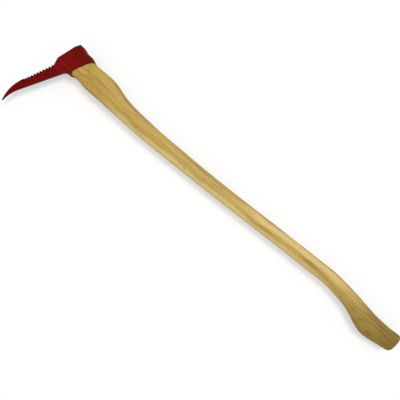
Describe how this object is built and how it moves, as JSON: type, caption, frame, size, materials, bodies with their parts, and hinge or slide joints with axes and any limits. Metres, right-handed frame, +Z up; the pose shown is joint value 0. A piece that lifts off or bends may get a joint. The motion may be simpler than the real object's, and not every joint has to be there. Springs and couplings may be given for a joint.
{
  "type": "log pick",
  "caption": "Forged and painted pick head with a toothed, curved beak and a flat poll, wedged on a long curved ash handle, for turning and dragging logs.",
  "frame": {"origin": "on the lower cheek of the head, straight below the centre of the eye", "axes": "+X along the axis of the eye from the top of the head to the butt of the handle, +Y to the poll, so that the pick reaches toward -Y, +Z up through the thickness of the tool, which lies on its side"},
  "size_m": [1.1438, 0.2416, 0.046],
  "materials": {
    "red_paint": "dark red paint on forged steel, soft sheen, worn at the edges",
    "ash": "oiled ash, long straight grain, satin",
    "beech": "raw hardwood, end grain showing",
    "wedge_steel": "rolled steel, hammered at its head"
  },
  "bodies": {
    "root": {"pick_head": "red_paint", "handle": "ash", "wooden_wedge": "beech", "steel_wedges": "wedge_steel"}
  },
  "joints": []
}
